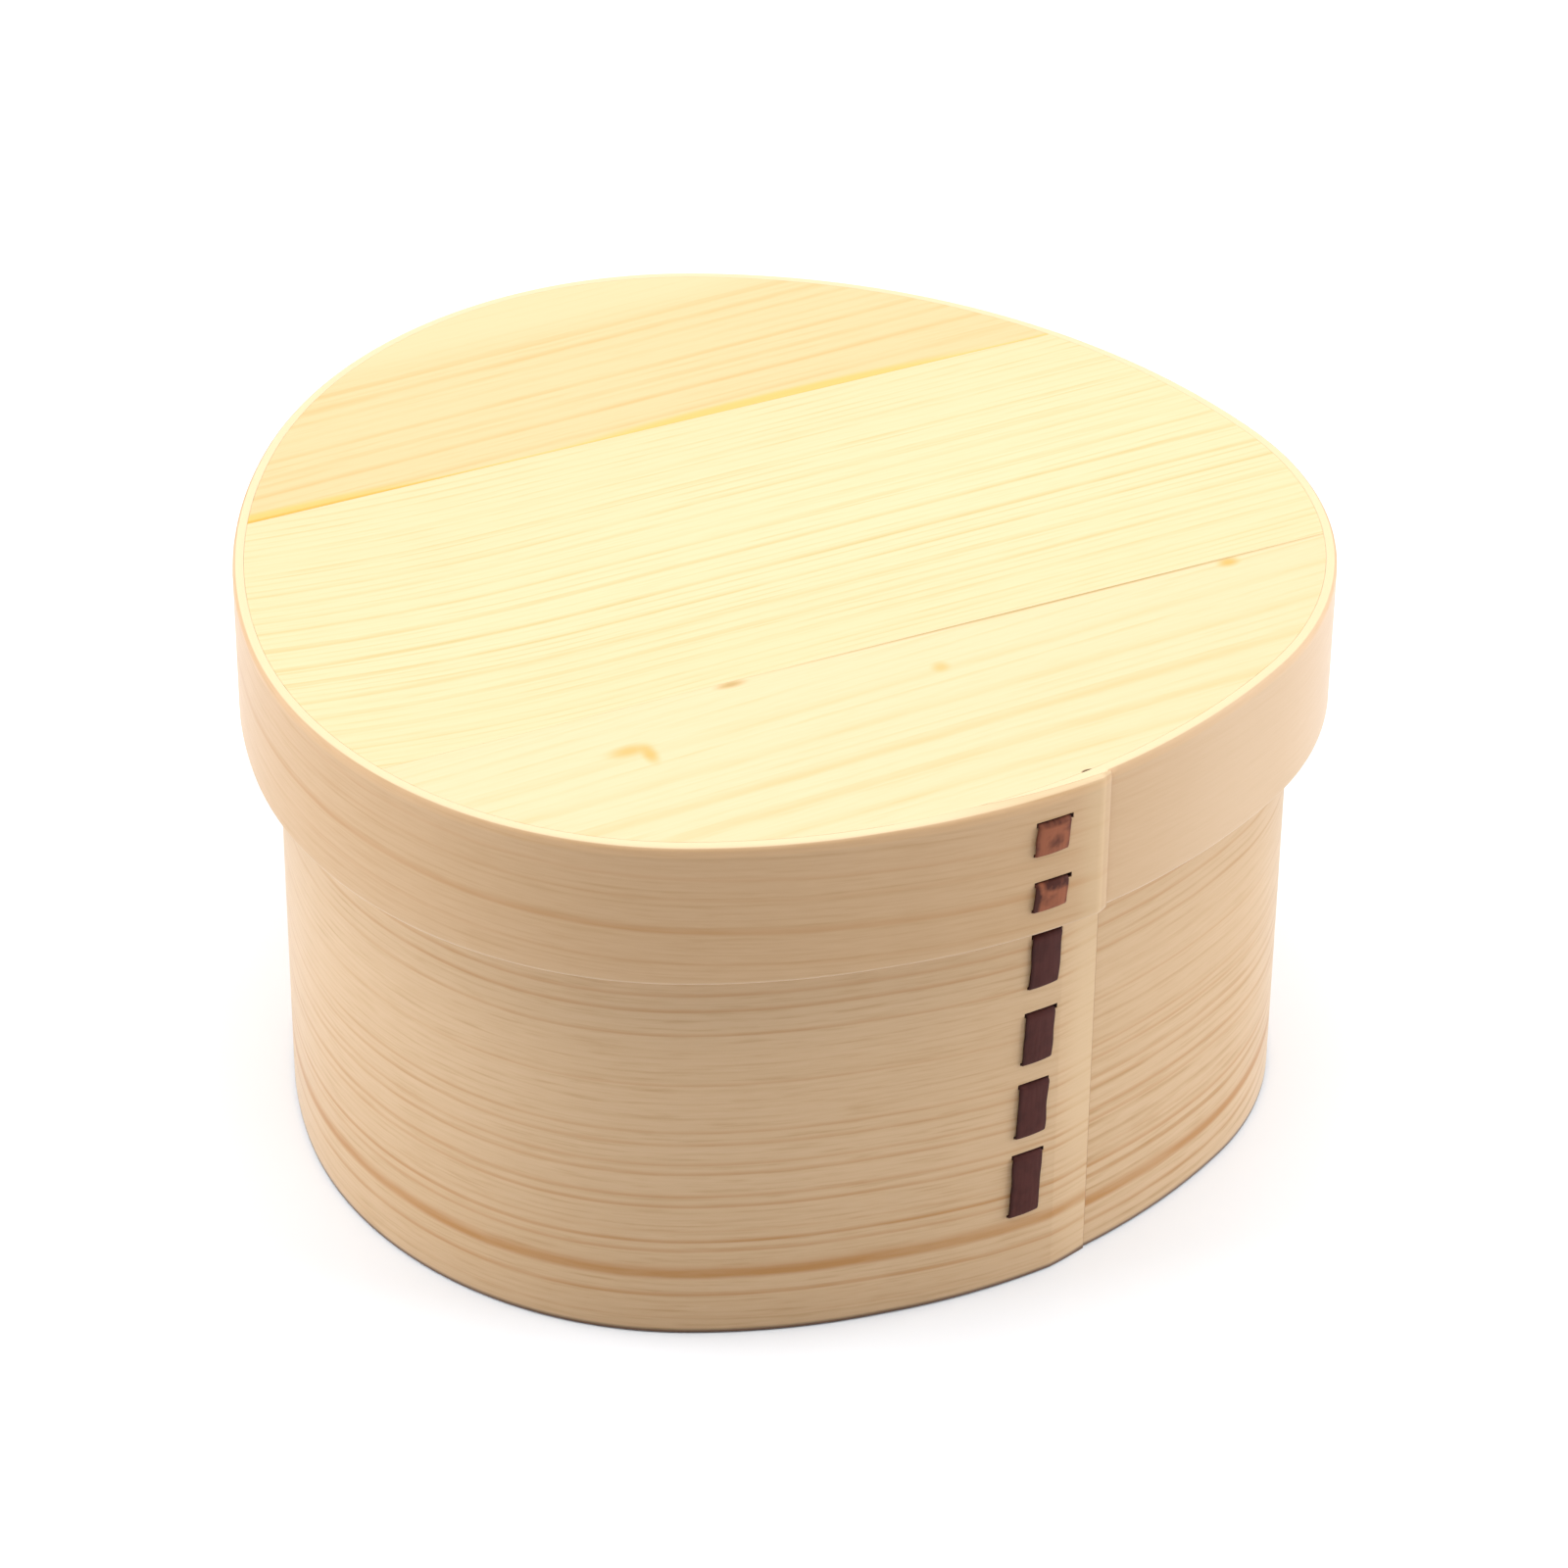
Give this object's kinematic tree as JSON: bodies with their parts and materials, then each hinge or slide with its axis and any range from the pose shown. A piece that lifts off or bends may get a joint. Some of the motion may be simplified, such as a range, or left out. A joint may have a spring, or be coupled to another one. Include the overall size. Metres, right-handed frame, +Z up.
{
  "type": "wooden bento box",
  "caption": "Egg-shaped bentwood lunch box with a lift-off covering lid, plank boards set into bent bands, and lapped ends sewn with bark.",
  "frame": {"origin": "centre of the bounding box, on the face that the box stands on", "axes": "+Z up, the way the lid lifts; +X along the egg-shaped plan towards its pointed end; the lapped, stitched ends face -Y"},
  "size_m": [0.1448, 0.1288, 0.0857],
  "materials": {
    "band_wood": "bare planed softwood, fine straight grain",
    "back_plank_wood": "bare planed softwood, broad warm grain",
    "middle_plank_wood": "bare planed softwood, close pale grain",
    "front_plank_wood": "bare planed softwood with small knots",
    "copper_bark": "smooth bark, copper brown",
    "maroon_bark": "smooth bark, dark maroon"
  },
  "bodies": {
    "box": {"box_band": "band_wood", "base_plank_back": "back_plank_wood", "base_plank_middle": "middle_plank_wood", "base_plank_front": "front_plank_wood", "box_bark": "maroon_bark"},
    "lid": {"lid_band": "band_wood", "lid_plank_back": "back_plank_wood", "lid_plank_middle": "middle_plank_wood", "lid_plank_front": "front_plank_wood", "lid_bark": "copper_bark"}
  },
  "joints": [
    {"name": "lid_lift", "type": "slide", "parent": "box", "child": "lid", "axis": [0, 0, 1], "range_m": [0, 0.08]}
  ]
}
